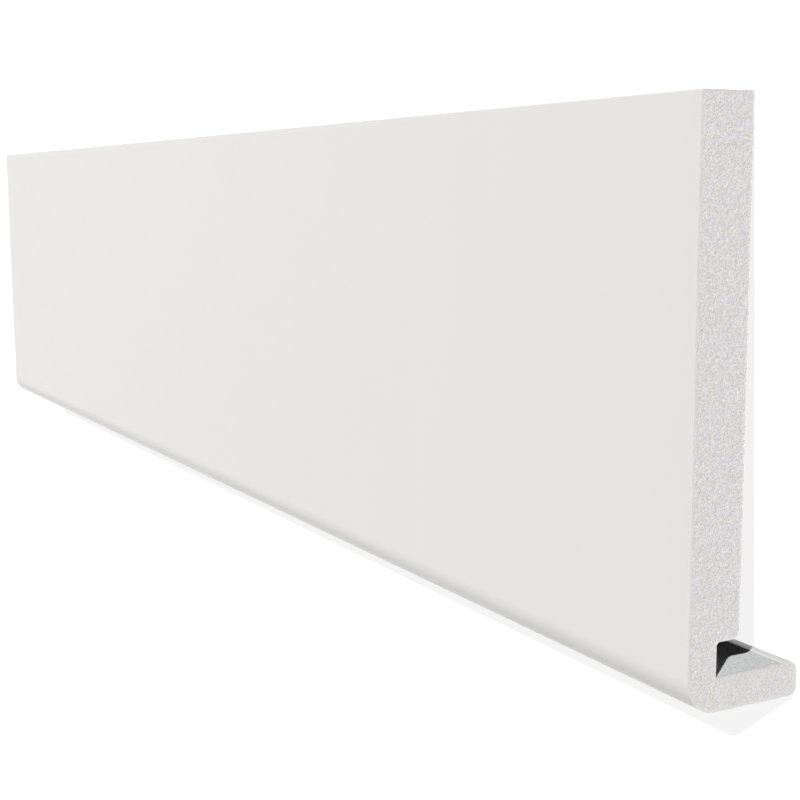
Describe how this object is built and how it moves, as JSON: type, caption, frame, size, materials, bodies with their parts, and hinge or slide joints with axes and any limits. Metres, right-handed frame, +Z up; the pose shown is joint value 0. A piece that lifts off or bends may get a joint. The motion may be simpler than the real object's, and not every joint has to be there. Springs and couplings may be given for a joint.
{
  "type": "fascia board",
  "caption": "Foamed plastic fascia board with a square leg along its lower edge and a groove behind it for the edge of a soffit board.",
  "frame": {"origin": "middle of the underside of the board's box, on the floor that it lies on", "axes": "+X along the board, +Y across it from the leg to the top edge, +Z up, out of the front face"},
  "size_m": [0.78, 0.1786, 0.0403],
  "materials": {
    "pvc": "satin"
  },
  "bodies": {
    "root": {"fascia_board": "pvc"}
  },
  "joints": []
}
